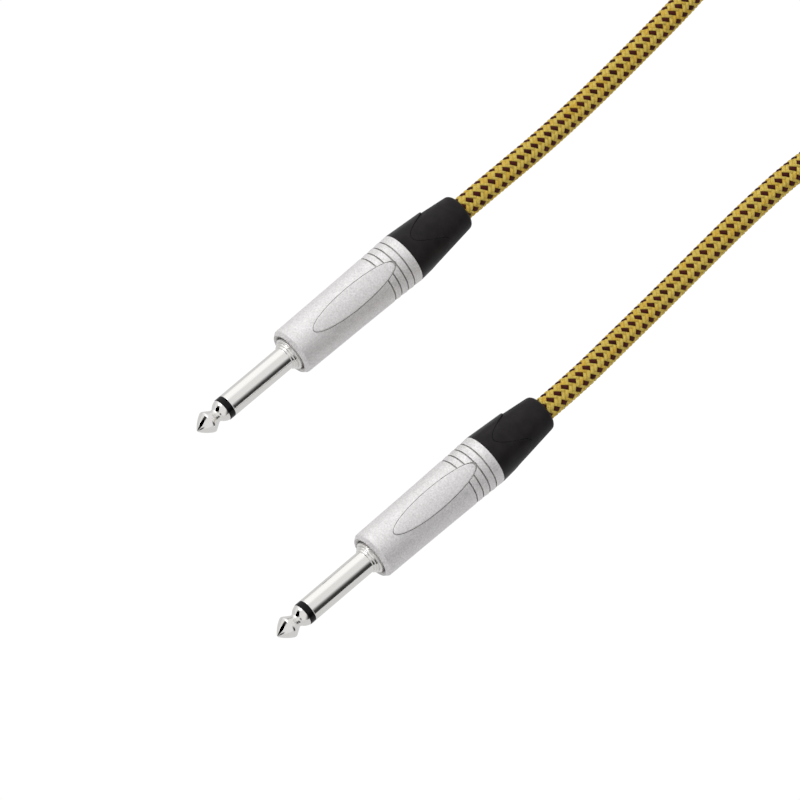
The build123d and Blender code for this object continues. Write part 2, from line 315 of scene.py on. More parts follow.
class Paint:
    """A Principled material and the few kinds of nodes that these materials need."""

    def __init__(self, name, **values):
        self.material = bpy.data.materials.new(name)
        self.material.use_nodes = True
        self.tree = self.material.node_tree
        self.shader = self.tree.nodes["Principled BSDF"]
        self.heights = None
        for socket, value in values.items():
            self.shader.inputs[socket.replace("_", " ")].default_value = value

    def node(self, kind, inputs=None, **settings):
        made = self.tree.nodes.new(kind)
        for key, value in settings.items():
            setattr(made, key, value)
        for key, value in (inputs or {}).items():
            if isinstance(value, bpy.types.NodeSocket):
                self.tree.links.new(value, made.inputs[key])
            else:
                made.inputs[key].default_value = value
        return made

    def place(self, scale=(1, 1, 1), uv=None):
        if uv:
            source = self.node("ShaderNodeUVMap", uv_map=uv).outputs["UV"]
        else:
            source = self.node("ShaderNodeTexCoord").outputs["Object"]
        return self.node("ShaderNodeMapping", {"Vector": source, "Scale": scale}).outputs["Vector"]

    def noise(self, scale, detail=2.0, stretch=(1, 1, 1), roughness=0.5, uv=None):
        inputs = {"Vector": self.place(stretch, uv), "Scale": scale, "Detail": detail, "Roughness": roughness}
        return self.node("ShaderNodeTexNoise", inputs).outputs["Fac"]

    def between(self, value, low, high, from_low=0.3, from_high=0.7):
        limits = {"From Min": from_low, "From Max": from_high, "To Min": low, "To Max": high}
        return self.node("ShaderNodeMapRange", {"Value": value, **limits}).outputs["Result"]

    def colours(self, value, *stops):
        ramp = self.node("ShaderNodeValToRGB", {"Fac": value})
        points = ramp.color_ramp.elements
        while len(points) < len(stops):
            points.new(0.5)
        for point, (place, colour) in zip(points, stops):
            point.position = place
            point.color = (*colour, 1)
        return ramp.outputs["Color"]

    def set(self, socket, value):
        self.tree.links.new(value, self.shader.inputs[socket])

    def mottle(self, value, dark, light):
        """A base colour that goes from dark to light with a noise's value."""
        self.set("Base Color", self.colours(value, (0.3, dark), (0.7, light)))

    def bump(self, value, height):
        """Adds relief whose depth is height, in millimetres."""
        inputs = {"Height": value, "Distance": height * MM, "Strength": 1.0}
        if self.heights:
            inputs["Normal"] = self.heights
        self.heights = self.node("ShaderNodeBump", inputs).outputs["Normal"]
        self.set("Normal", self.heights)


def polished_nickel():
    """Plated brass with faint turning rings and the odd speck."""
    paint = Paint("polished_nickel", Metallic=1.0, Base_Color=(0.83, 0.82, 0.80, 1))
    paint.set("Roughness", paint.between(paint.noise(900, 4), 0.07, 0.16))
    paint.bump(paint.noise(60, 3, stretch=(1, 90, 1)), 0.004)
    paint.bump(paint.noise(1500, 3), 0.006)
    return paint.material


def satin_nickel():
    """Fine blasted nickel: a grain of small pits that glitters a little."""
    paint = Paint("satin_nickel", Metallic=1.0)
    grain = paint.noise(2300, 3, roughness=0.6)
    paint.mottle(grain, (0.71, 0.695, 0.695), (0.91, 0.895, 0.895))
    paint.set("Roughness", paint.between(paint.noise(700, 3), 0.60, 0.74))
    paint.bump(grain, 0.065)
    return paint.material


def groove_shade_nickel():
    """The shell's grooves and the crease round its oval, painted darker than the rest of the shell: painted
    shade in these narrow hollows.
    """
    paint = Paint("groove_shade_nickel", Metallic=1.0)
    paint.mottle(paint.noise(900, 3), (0.34, 0.33, 0.32), (0.52, 0.51, 0.50))
    paint.set("Roughness", paint.between(paint.noise(700, 2), 0.5, 0.65))
    paint.bump(paint.noise(2300, 2), 0.02)
    return paint.material


def black_ring():
    paint = Paint("black_ring", Base_Color=(0.004, 0.004, 0.0045, 1), Specular_IOR_Level=0.16)
    paint.set("Roughness", paint.between(paint.noise(500, 2), 0.10, 0.22))
    paint.bump(paint.noise(800, 2), 0.004)
    return paint.material


def moulded_black(name, colour, rough_low, rough_high, grain, depth):
    """Moulded plastic or rubber with a fine eroded grain."""
    paint = Paint(name, Specular_IOR_Level=0.12)
    dark = tuple(0.7 * part for part in colour)
    paint.set("Base Color", paint.colours(paint.noise(350, 3), (0.35, dark), (0.65, colour)))
    paint.set("Roughness", paint.between(paint.noise(600, 3), rough_low, rough_high))
    paint.bump(paint.noise(grain, 3, roughness=0.6), depth)
    return paint.material


def clamp_plastic():
    """Natural moulded nylon."""
    paint = Paint("clamp_plastic", Subsurface_Weight=0.15, Subsurface_Scale=0.001)
    paint.mottle(paint.noise(300, 3), (0.72, 0.70, 0.62), (0.82, 0.80, 0.74))
    paint.set("Roughness", paint.between(paint.noise(500, 2), 0.38, 0.5))
    paint.bump(paint.noise(1200, 2), 0.01)
    return paint.material


def tinned_metal():
    """Stamped and tinned sheet, with soft flow marks."""
    paint = Paint("tinned_metal", Metallic=1.0)
    paint.mottle(paint.noise(400, 4), (0.62, 0.61, 0.57), (0.80, 0.79, 0.76))
    paint.set("Roughness", paint.between(paint.noise(700, 3), 0.22, 0.42))
    paint.bump(paint.noise(900, 2, stretch=(1, 0.2, 1)), 0.02)
    return paint.material


def solder():
    paint = Paint("solder", Metallic=1.0, Base_Color=(0.78, 0.78, 0.79, 1))
    paint.set("Roughness", paint.between(paint.noise(800, 3), 0.12, 0.3))
    paint.bump(paint.noise(450, 2), 0.06)
    return paint.material


def copper():
    """Fine bare strands, twisted together."""
    paint = Paint("copper", Metallic=1.0)
    twist = {"Vector": paint.place(), "Scale": 900, "Distortion": 0.6}
    shine = paint.node("ShaderNodeTexWave", twist).outputs["Fac"]
    paint.set("Base Color", paint.colours(shine, (0.2, (0.42, 0.17, 0.08)), (0.8, (0.90, 0.50, 0.32))))
    paint.set("Roughness", paint.between(paint.noise(900, 2), 0.2, 0.35))
    paint.bump(shine, 0.05)
    return paint.material


def core_plastic():
    paint = Paint("core_plastic", Subsurface_Weight=0.2, Subsurface_Scale=0.001)
    paint.mottle(paint.noise(250, 2), (0.80, 0.80, 0.76), (0.88, 0.88, 0.85))
    paint.set("Roughness", paint.between(paint.noise(600, 2), 0.3, 0.42))
    paint.bump(paint.noise(1500, 2), 0.005)
    return paint.material


# Painted shade: how dark a yarn strand goes at its edges, as a share of its dark colour.
PAINTED_EDGE_SHADE = 0.6
FILAMENT_WAVE = 3.979  # the wave texture's scale, for about 13 fine ridges across a strand


def yarn(name, dark, light, crease):
    """Polyester yarn: flat strands of fine filaments that lie side by side.

    A strand is painted darker along its edges and ends, where it dives under its neighbours: this is painted
    shade, and crease is how far it goes there towards a darker copy of its dark colour."""
    paint = Paint(name, Specular_IOR_Level=0.12)
    tone = paint.node("ShaderNodeAttribute", attribute_name="tone").outputs["Fac"]
    fine = paint.noise(14, 2, stretch=(3.0, 0.35, 1), uv="strand")
    mixed = paint.node("ShaderNodeMath", {0: tone, 1: fine}, operation="ADD").outputs["Value"]
    colour = paint.colours(mixed, (0.3, dark), (0.9, light))
    place = paint.node("ShaderNodeSeparateXYZ", {"Vector": paint.place(uv="strand")}).outputs
    across = paint.node("ShaderNodeMath", {0: place["X"], 1: 0.5}, operation="PINGPONG").outputs["Value"]
    along = paint.node("ShaderNodeMath", {0: place["Y"], 1: 1.0}, operation="PINGPONG").outputs["Value"]
    nearest = paint.node("ShaderNodeMath", {0: across, 1: along}, operation="MINIMUM").outputs["Value"]
    # Painted shade: the colour goes darker towards each strand's edges and ends.
    depth = paint.between(nearest, crease, 0.0, 0.0, 0.3)
    shaded = paint.node("ShaderNodeMix", {"Factor": depth, "A": colour}, data_type="RGBA")
    shaded.inputs["B"].default_value = (*(PAINTED_EDGE_SHADE * part for part in dark), 1)
    paint.set("Base Color", shaded.outputs["Result"])
    paint.set("Roughness", paint.between(fine, 0.42, 0.62))
    ridges = {"Vector": paint.place(uv="strand"), "Scale": FILAMENT_WAVE, "Distortion": 0.15}
    wave = paint.node("ShaderNodeTexWave", ridges, bands_direction="X").outputs["Fac"]
    paint.bump(wave, 0.05)
    paint.bump(fine, 0.04)
    return paint.material


def strap_cloth():
    """Hook-and-loop strap: a mat of small loops over a woven back."""
    paint = Paint("strap_cloth", Sheen_Weight=0.35, Sheen_Roughness=0.5, Specular_IOR_Level=0.2)
    mat = {"Vector": paint.place(), "Scale": 1500, "Randomness": 0.8}
    loops = paint.node("ShaderNodeTexVoronoi", mat).outputs["Distance"]
    paint.set("Base Color", paint.colours(loops, (0.1, (0.006, 0.006, 0.007)), (0.8, (0.028, 0.028, 0.030))))
    paint.set("Roughness", paint.between(paint.noise(500, 3), 0.75, 0.92))
    paint.bump(loops, 0.18)
    paint.bump(paint.noise(700, 4), 0.08)
    return paint.material


NICKEL = polished_nickel()
SATIN = satin_nickel()
# Painted shade: a darker nickel for the bottoms of the grooves and of the oval's crease.
GROOVE_SHADE = groove_shade_nickel()
RING = black_ring()
HARD = moulded_black("hard_black", (0.0172, 0.0150, 0.0156), 0.30, 0.42, 1800, 0.012)
SOFT = moulded_black("soft_black", (0.0180, 0.0157, 0.0165), 0.42, 0.55, 1500, 0.016)
INSERT = moulded_black("insert_plastic", (0.03, 0.03, 0.03), 0.35, 0.5, 1200, 0.01)
RUBBER = moulded_black("jacket_rubber", (0.025, 0.025, 0.025), 0.5, 0.65, 1000, 0.02)
CLAMP = clamp_plastic()
TINNED = tinned_metal()
SOLDER = solder()
COPPER = copper()
CORE = core_plastic()
# The last number of each yarn is how far its painted edge shade goes.
YELLOW = yarn("yarn_yellow", (0.95, 0.575, 0.055), (1.0, 0.76, 0.17), 0.38)
BROWN = yarn("yarn_brown", (0.036, 0.005, 0.003), (0.085, 0.014, 0.009), 0.4)
STRAP = strap_cloth()


# ---- the plugs ----


def tip_contact(plug):
    outline = [(0.0, 0.0)]
    outline += arc((0.0, 0.3), (1.65, 1.93), (3.3, 3.0), 16)
    outline += arc((3.3, 3.0), (3.72, 3.12), (4.15, 2.98), 8)
    outline += [(4.15, 2.98), (4.2, 2.95), (5.75, 2.01)]
    outline += arc((5.8, 1.98), (6.25, 1.82), (6.7, 1.95), 10)
    outline += arc((6.7, 1.95), (7.55, 2.65), (8.6, 3.06), 14)
    outline += [(8.6, 3.05), (8.66, 3.04), (RING_FRONT, 2.98), (RING_FRONT, ROD_R)]
    outline += [(ROD_END - 0.15, ROD_R), (ROD_END, ROD_R - 0.15), (ROD_END, 0.0)]
    made = lathe(f"tip_{plug.side}", plug, *np.array(outline).T)
    dress(made, NICKEL, "root", "polished_nickel", f"tip_contact_{plug.side}")


def tip_insulator(plug):
    bore = ROD_R + 0.03
    outline = rounded(
        [
            (RING_FRONT + 0.02, bore, 0),
            (RING_FRONT + 0.02, JACK_R - 0.01, 0.12),
            (RING_BACK - 0.02, JACK_R - 0.01, 0.12),
            (RING_BACK - 0.02, LINER_R, 0),
            (FLANGE_BACK + 0.6, LINER_R, 0.1),
            (FLANGE_BACK + 0.6, bore, 0),
        ]
    )
    made = lathe(f"insulating_ring_{plug.side}", plug, *np.array(outline).T)
    dress(made, RING, "root", "black_ring", f"tip_insulator_{plug.side}")


def sleeve(plug):
    bore = LINER_R + 0.05
    corners = [(RING_BACK, bore, 0), (RING_BACK, JACK_R, 0.18), (SLEEVE_BACK, JACK_R, 0.05)]
    front = SLEEVE_BACK
    for step_radius, back in STEPS:
        corners += [(front, step_radius, 0.12), (back, step_radius, 0.05)]
        front = back
    corners += [
        (front, FOOT_R, 0.15),
        (SHELL_SHOULDER, FOOT_R, 0.05),
        (SHELL_SHOULDER, FLANGE_R, 0.1),
        (FLANGE_BACK, FLANGE_R, 0.1),
        (FLANGE_BACK, bore, 0),
    ]
    made = lathe(f"sleeve_contact_{plug.side}", plug, *np.array(rounded(corners)).T)
    dress(made, NICKEL, "root", "polished_nickel", f"sleeve_{plug.side}")


def tooth(distance, roll, root_half, crest_half, height):
    """Height of a right-hand thread's ridge over its core, at each distance and roll."""
    centre = THREAD_START + THREAD_PITCH * (roll - math.pi / 2) / TAU
    away = np.abs((distance - centre + THREAD_PITCH / 2) % THREAD_PITCH - THREAD_PITCH / 2)
    return height * np.clip((root_half - away) / (root_half - crest_half), 0, 1)


def shell_radius(distance):
    """The shell's outer radius: it swells a little, and more over the grooves."""
    places = (SHELL_NECK, SHELL_MIDDLE, GROOVES[0], SHELL_BACK)
    return np.interp(distance, places, (SHELL_NECK_R, SHELL_MIDDLE_R, SHELL_GROOVE_R, SHELL_BACK_R))


def oval_column(plug, name, widen, top, bottom):
    """A closed oval pillow. top and bottom give its height from (share of the way out, across, along)."""
    around = 96
    turn = np.arange(around) / around * TAU
    rings = []
    sides = [(share, top) for share in OVAL_SHARES] + [(share, bottom) for share in OVAL_SHARES[::-2]]
    for share, height in sides:
        across = (OVAL_WIDTH / 2 + widen) * share * np.cos(turn)
        along = OVAL_CENTRE + (OVAL_LENGTH / 2 + widen) * share * np.sin(turn)
        rings.append(np.stack((across, along, height(share, across, along)), axis=-1))
    flat = np.concatenate(rings)
    roll = math.radians(OVAL_ROLL[plug.side])
    placed = np.stack(
        (
            plug.x + flat[:, 0] * math.cos(roll) + flat[:, 2] * math.sin(roll),
            plug.tip + flat[:, 1],
            plug.z - flat[:, 0] * math.sin(roll) + flat[:, 2] * math.cos(roll),
        ),
        axis=-1,
    )
    made = new_object(name, placed, grid_faces(len(rings), around))
    close_axis(made)
    return made


def oval(plug):
    """The blank raised oval, its rim rounded, sunk into the shell."""

    def top(share, across, along):
        past = min(1.0, max(0.0, (share - OVAL_RIM) / (1 - OVAL_RIM)))
        drop = OVAL_EDGE * (1 - math.sqrt(1 - past * past))
        return OVAL_TOP - OVAL_CROWN_R + np.sqrt(OVAL_CROWN_R**2 - across**2) - drop

    def bottom(share, across, along):
        return np.sqrt((SHELL_BORE_R + 0.35) ** 2 - across**2)

    return oval_column(plug, "oval", 0, top, bottom)


def moat(plug):
    """What is cut out of the shell round the oval: a fine crease."""

    def top(share, across, along):
        return np.full(across.shape, OVAL_TOP + 1.0)

    def bottom(share, across, along):
        return np.sqrt((shell_radius(along) - MOAT_DEPTH) ** 2 - across**2)

    return oval_column(plug, "moat", MOAT_WIDTH, top, bottom)


def combine(piece, other, operation):
    """Joins another closed mesh to a piece, or cuts it away, and leaves one skin."""
    change = piece.modifiers.new("change", "BOOLEAN")
    change.operation = operation
    change.solver = "EXACT"
    change.object = other
    bpy.context.view_layer.update()
    result = bpy.data.meshes.new_from_object(piece.evaluated_get(bpy.context.evaluated_depsgraph_get()))
    piece.modifiers.clear()
    piece.data = result
    bpy.data.objects.remove(other)
    result.shade_smooth()
    result.set_sharp_from_angle(angle=math.radians(30))


def paint_groove_shade(piece, plug):
    """Gives the faces at the bottom of the grooves and of the oval's crease their own darker material, which
    paints the shade in these hollows.
    """
    piece.data.materials.append(GROOVE_SHADE)
    centres = np.zeros(3 * len(piece.data.polygons))
    piece.data.polygons.foreach_get("center", centres)
    x, y, z = centres.reshape(-1, 3).T / MM
    distance, radius = y - plug.tip, np.hypot(x - plug.x, z - plug.z)
    # Painted shade: the sunk faces in the grooves and the crease get the darker nickel.
    sunk = (radius > SHELL_BORE_R + 0.4) & (radius < shell_radius(distance) - 0.1)
    outside = (distance > SHELL_NECK + 0.2) & (distance < SHELL_BACK - 0.3)
    piece.data.polygons.foreach_set("material_index", (sunk & outside).astype(np.int32))


def shell(plug):
    corners = [
        (SHELL_SHOULDER, SHELL_BORE_R, 0),
        (SHELL_SHOULDER, SHELL_MOUTH_R, 0.1),
        (SHELL_FRONT + LIP_DEPTH, SHELL_MOUTH_R, 0.25),
        (SHELL_FRONT, LIP_IN_R, 0.3),
        (SHELL_FRONT, LIP_OUT_R, 0.4),
        (SHELL_NECK, SHELL_NECK_R, 0.5),
        (SHELL_MIDDLE, SHELL_MIDDLE_R, 0),
    ]
    half = GROOVE_WIDTH / 2
    for groove in GROOVES:
        radius = shell_radius(groove)
        corners.append((groove - half, radius + 0.04, 0.07))
        corners.append((groove - half, radius - GROOVE_DEPTH, 0.05))
        corners.append((groove + half, radius - GROOVE_DEPTH, 0.05))
        corners.append((groove + half, radius - 0.08, 0.07))
    corners.append((SHELL_BACK, SHELL_BACK_R, 0.15))
    corners.append((SHELL_BACK, NUT_R + 0.5, 0))
    corners.append((SHELL_BACK - 0.5, NUT_R, 0))
    outline = rounded(corners)
    nut_front = BUSHING_FRONT - 0.8
    thread_rows = np.arange(SHELL_BACK - 0.65, nut_front, -THREAD_PITCH / 10)
    distance = np.array([point[0] for point in outline] + list(thread_rows) + [nut_front, nut_front - 0.6])
    radius = np.array([point[1] for point in outline] + [NUT_R] * (len(thread_rows) + 1) + [SHELL_BORE_R])
    rolls = 144
    roll = np.arange(rolls) / rolls * TAU
    distance = np.repeat(distance[:, None], rolls, axis=1)
    radius = np.repeat(radius[:, None], rolls, axis=1)
    first = len(outline)
    rows = slice(first, first + len(thread_rows))
    radius[rows] += tooth(distance[rows], roll[None], 0.66, 0.28, 0.55)
    made = lathe(f"plug_shell_{plug.side}", plug, distance, radius, rolls)
    combine(made, moat(plug), "DIFFERENCE")
    combine(made, oval(plug), "UNION")
    dress(made, SATIN, "root", "satin_nickel", f"shell_{plug.side}")
    # Painted shade in the grooves and the crease round the oval.
    paint_groove_shade(made, plug)


def skirt_edge(roll):
    """How far back the hard skirt reaches at a roll: three tongues between three valleys."""
    share = (1 + np.cos(3 * (roll - math.radians(TONGUE_ROLL)))) / 2
    return VALLEY_END + (TONGUE_END - VALLEY_END) * share


def core_radius(distance):
    return np.interp(distance, (CORE_TAPER, CORE_TUBE_END), (CORE_TUBE_R, CORE_END_R))


def skirt_radius(distance):
    return np.interp(distance, (SHELL_BACK, TONGUE_END), (SKIRT_FRONT_R, SKIRT_BACK_R))


def soft_radius(distance):
    return np.interp(distance, (VALLEY_END, BOOT_END - 1.0), (SOFT_FRONT_R, SOFT_BACK_R))


def boot_bushing(plug):
    """Thread, closing cone, core tube and the hard skirt, as one skin that follows the tongues."""
    rolls = 216
    roll = np.arange(rolls) / rolls * TAU
    edge = skirt_edge(roll)
    distance, radius = [], []

    def row(along, out):
        distance.append(np.broadcast_to(along, (rolls,)))
        radius.append(np.broadcast_to(out, (rolls,)))

    row(BUSHING_FRONT, CONE_R)
    row(BUSHING_FRONT, THREAD_CORE_R - 0.1)
    row(BUSHING_FRONT + 0.1, THREAD_CORE_R)
    for along in np.arange(BUSHING_FRONT + 0.2, SHELL_BACK - 0.3, THREAD_PITCH / 10):
        fade = np.clip((along - THREAD_ENDS[0]) / 0.5, 0, 1) * np.clip((THREAD_ENDS[1] - along) / 0.5, 0, 1)
        row(along, THREAD_CORE_R + fade * tooth(along, roll, 0.5, 0.12, 0.5))
    row(SHELL_BACK, THREAD_CORE_R)
    row(SHELL_BACK, SKIRT_FRONT_R - 0.12)
    row(SHELL_BACK + 0.03, SKIRT_FRONT_R - 0.05)
    row(SHELL_BACK + 0.1, skirt_radius(SHELL_BACK + 0.1))
    round_off = 0.16
    last = edge - round_off
    for share in (0.02, 0.15, 0.3, 0.45, 0.6, 0.75, 0.9, 0.97, 1.0):
        along = SHELL_BACK + 0.1 + (last - SHELL_BACK - 0.1) * share
        row(along, skirt_radius(along))
    for step in range(1, 5):
        angle = math.radians(90 * step / 4)
        along = last + round_off * math.sin(angle)
        row(along, skirt_radius(last) - round_off * (1 - math.cos(angle)))
    row(edge, skirt_radius(last) - 0.3)
    row(edge, core_radius(edge))
    for share in (0.3, 0.6, 1.0):
        along = edge + (CORE_TUBE_END - edge) * share
        row(along, core_radius(along))
    row(CORE_TUBE_END, CABLE_BORE_R)
    row(CONE_BACK, CABLE_BORE_R)
    row(CONE_FRONT, CONE_R)
    made = lathe(f"boot_hard_{plug.side}", plug, np.array(distance), np.array(radius), rolls)
    dress(made, HARD, f"boot_{plug.side}", "hard_black", f"boot_bushing_{plug.side}")


def boot_sleeve(plug):
    """The soft boot: it fills the skirt's valleys, and tapers to the cable."""
    rolls = 216
    roll = np.arange(rolls) / rolls * TAU
    start = skirt_edge(roll) + 0.04
    distance, radius = [], []

    def row(along, out):
        distance.append(np.broadcast_to(along, (rolls,)))
        radius.append(np.broadcast_to(out, (rolls,)))

    row(start, core_radius(start) + 0.02)
    row(start, soft_radius(start) - 0.3)
    round_off = 0.14
    for step in range(5):
        angle = math.radians(90 * step / 4)
        row(start + round_off * (1 - math.cos(angle)), soft_radius(start) - round_off * (1 - math.sin(angle)))
    for share in (0.05, 0.2, 0.35, 0.5, 0.65, 0.8, 0.92, 1.0):
        along = start + round_off + (SOFT_TAPER_END - start - round_off) * share
        row(along, soft_radius(along))
    shoulder = (SOFT_TAPER_END + 0.2, SOFT_BACK_R + 0.01)
    for along, out in arc(shoulder, (91.6, 4.85), (BOOT_END, BOOT_END_R), 6):
        row(along, out)
    row(BOOT_END, BOOT_END_R)
    row(BOOT_END, 3.65)
    row(BOOT_END - 0.15, CABLE_BORE_R)
    row(CORE_TUBE_END + 0.02, CABLE_BORE_R)
    row(CORE_TUBE_END + 0.02, core_radius(CORE_TUBE_END))
    for share in (0.6, 0.3):
        along = start + (CORE_TUBE_END - start) * share
        row(along, core_radius(along) + 0.02)
    made = lathe(f"boot_soft_{plug.side}", plug, np.array(distance), np.array(radius), rolls)
    dress(made, SOFT, f"boot_{plug.side}", "soft_black", f"boot_sleeve_{plug.side}")


INNER_FINISH = {
    "ground_lug": (TINNED, "tinned_metal"),
    "contact_insert": (INSERT, "insert_plastic"),
    "tip_solder_lug": (TINNED, "tinned_metal"),
    "solder_joints": (SOLDER, "solder"),
    "centre_conductor": (COPPER, "copper"),
    "core_insulation": (CORE, "core_plastic"),
    "shield_pigtail": (COPPER, "copper"),
    "inner_jacket": (RUBBER, "jacket_rubber"),
    "chuck": (CLAMP, "clamp_plastic"),
}


def finish_inner(side):
    """Gives the CAD pieces inside a plug their real finishes."""
    for node, (material, slot) in INNER_FINISH.items():
        piece = frame["nodes"][f"{node}_{side}"]
        piece.data.materials.clear()
        piece.data.materials.append(material)


# ---- the cable ----


def turn_place(turn, change):
    """A turn's column radius and height, once it has made the share change of its move to the next
    turn's place."""
    column, layer = TURNS[turn]
    if change == 0:
        return COLUMN_R[column], CABLE_D * (layer + 0.5)
    next_column, next_layer = TURNS[turn + 1]
    share = change * change * (3 - 2 * change)
    outwards = 1 if column == 2 else -1
    bulge = outwards * RISE_BULGE * math.sin(math.pi * share) if next_layer != layer else 0
    radius = COLUMN_R[column] + (COLUMN_R[next_column] - COLUMN_R[column]) * share + bulge
    return radius, CABLE_D * (layer + 0.5 + (next_layer - layer) * share)


def end_loop(radius, height, centre_y, start):
    """Control points of a clockwise half turn from the angle start, in degrees."""
    step = 180 / LOOP_STATIONS
    reach = radius / math.cos(math.radians(step / 2))
    points = []
    for station in range(LOOP_STATIONS):
        angle = math.radians(start - (station + 0.5) * step)
        points.append((HANK_X + reach * math.cos(angle), centre_y + reach * math.sin(angle), height))
    return points


def hank():
    """Control points of the hank's turns: up the left side, round, and down the right, where each
    changes place."""
    points = []
    tie_y = HANK_NEAR_Y + HANK_SIDE / 2 + TIE_SHIFT
    for turn in range(len(TURNS)):
        radius, height = turn_place(turn, 0)
        for share in (0.17, 0.5, 0.83):
            y = HANK_NEAR_Y + HANK_SIDE * share
            lift = TIE_THICK * max(0, 1 - ((y - tie_y) / TIE_LIFT_REACH) ** 2)
            points.append((HANK_X - radius, y, height + lift))
        points += end_loop(radius, height, HANK_NEAR_Y + HANK_SIDE, 180)
        if turn == len(TURNS) - 1:
            break
        for share in (0.12, 0.37, 0.63, 0.88):
            radius, height = turn_place(turn, share)
            points.append((HANK_X + radius, HANK_NEAR_Y + HANK_SIDE * (1 - share), height))
        radius, height = turn_place(turn + 1, 0)
        points += end_loop(radius, height, HANK_NEAR_Y, 0)
    return [tuple(value * MM for value in point) for point in points]


def smooth_line(points):
    """Points along the NURBS spline that has these control points, in metres."""
    curve = bpy.data.curves.new("route", "CURVE")
    curve.dimensions = "3D"
    curve.resolution_u = 24
    spline = curve.splines.new("NURBS")
    spline.points.add(len(points) - 1)
    for point, place in zip(spline.points, points):
        point.co = (*place, 1)
    spline.order_u = 3
    spline.use_endpoint_u = True
    route = bpy.data.objects.new("route", curve)
    bpy.context.scene.collection.objects.link(route)
    bpy.context.view_layer.update()
    mesh = bpy.data.meshes.new_from_object(route.evaluated_get(bpy.context.evaluated_depsgraph_get()))
    line = np.array([vertex.co for vertex in mesh.vertices])
    bpy.data.meshes.remove(mesh)
    bpy.data.objects.remove(route)
    return line


class Way:
    """The cable's line in millimetres, with a frame at each point that doesn't twist.

    Distance 0 is at plug_a's boot."""

    def __init__(self, line, before):
        steps = np.linalg.norm(np.diff(line, axis=0), axis=1)
        keep = np.concatenate(([True], steps > 1e-6))
        self.line = line[keep]
        steps = np.linalg.norm(np.diff(self.line, axis=0), axis=1)
        self.at = np.concatenate(([0], np.cumsum(steps))) - before
        self.ahead = np.gradient(self.line, self.at, axis=0)
        self.ahead /= np.linalg.norm(self.ahead, axis=1)[:, None]
        side = np.array((0.0, 0.0, 1.0))
        self.side = []
        for ahead in self.ahead:
            side = side - ahead * (side @ ahead)
            side /= np.linalg.norm(side)
            self.side.append(side)
        self.side = np.array(self.side)

    def frames(self, at):
        """The centre and the two axes across the cable at each distance."""
        centre, ahead, side = (
            np.stack([np.interp(at, self.at, values[:, axis]) for axis in range(3)], axis=-1)
            for values in (self.line, self.ahead, self.side)
        )
        ahead /= np.linalg.norm(ahead, axis=1)[:, None]
        side -= ahead * np.sum(side * ahead, axis=1)[:, None]
        side /= np.linalg.norm(side, axis=1)[:, None]
        return centre, side, np.cross(ahead, side)


def float_height(p, q):
    """How high the braid stands at lattice points p, q: 0 in the valleys, and 1 on a strand's crown."""
    cell_p, cell_q = np.floor(p), np.floor(q)
    kind = (cell_p + cell_q) % 4
    right_handed = kind < 2
    along = np.where(right_handed, p - cell_p + (kind == 1), q - cell_q + (kind == 3)) / 2
    across = np.where(right_handed, q - cell_q, p - cell_p)
    crown = 1 - np.abs(2 * across - 1) ** 2.4
    return np.clip(np.sin(math.pi * along), 0, 1) ** 0.55 * crown


def scatter(first, second):
    """A steady number from 0 to 1 for each pair of whole numbers."""
    return np.abs(np.sin(first * 12.9898 + second * 78.233) * 43758.5453) % 1


